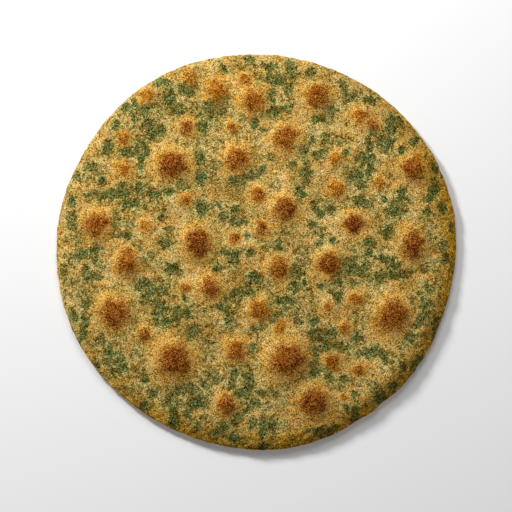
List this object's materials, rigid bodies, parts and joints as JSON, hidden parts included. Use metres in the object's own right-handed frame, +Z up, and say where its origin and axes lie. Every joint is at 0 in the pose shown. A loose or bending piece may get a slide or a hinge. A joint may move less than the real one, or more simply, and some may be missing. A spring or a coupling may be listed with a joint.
{
  "type": "chapati flatbread",
  "caption": "Round thick flatbread of wheat dough and chopped green leaves, pan-toasted, with raised brown blisters, a rounded edge and a flat underside.",
  "frame": {"origin": "on the flat underside, below the middle of the bread's outline", "axes": "+Z is up, through the bread's thickness; +X and +Y lie in the plane it rests on, +X to the right and +Y away as it is seen from the front"},
  "size_m": [0.2006, 0.2004, 0.0116],
  "materials": {
    "toasted_dough": "dry toasted dough, matt and sandy, golden yellow with green leaf flecks and brown blisters"
  },
  "bodies": {
    "root": {"chapati": "toasted_dough"}
  },
  "joints": []
}
